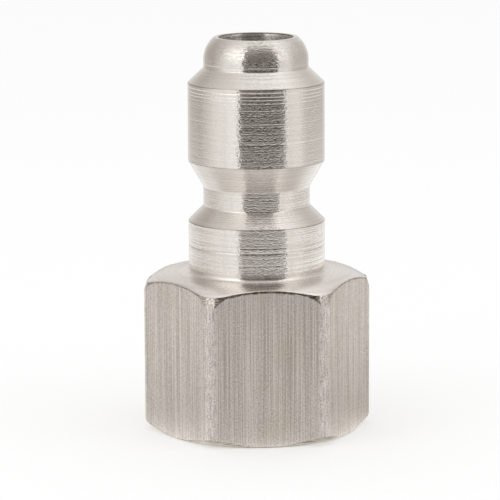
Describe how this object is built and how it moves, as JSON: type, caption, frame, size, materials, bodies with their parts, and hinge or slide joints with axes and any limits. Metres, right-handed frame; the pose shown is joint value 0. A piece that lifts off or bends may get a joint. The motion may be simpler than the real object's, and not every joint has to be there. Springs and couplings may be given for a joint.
{
  "type": "quick coupling plug",
  "caption": "Turned quick coupling plug with a domed nose, a ball-locking groove and a hexagon end with a threaded socket.",
  "frame": {"origin": "centre of the hex end's base face, which the plug stands on", "axes": "+Z along the plug's axis towards the nose; one flat of the hexagon faces -Y"},
  "size_m": [0.0198, 0.0174, 0.0342],
  "materials": {
    "plug_body": "bare stainless steel, turned above and as drawn on the hexagon's flats"
  },
  "bodies": {
    "root": {"plug_body": "plug_body"}
  },
  "joints": []
}
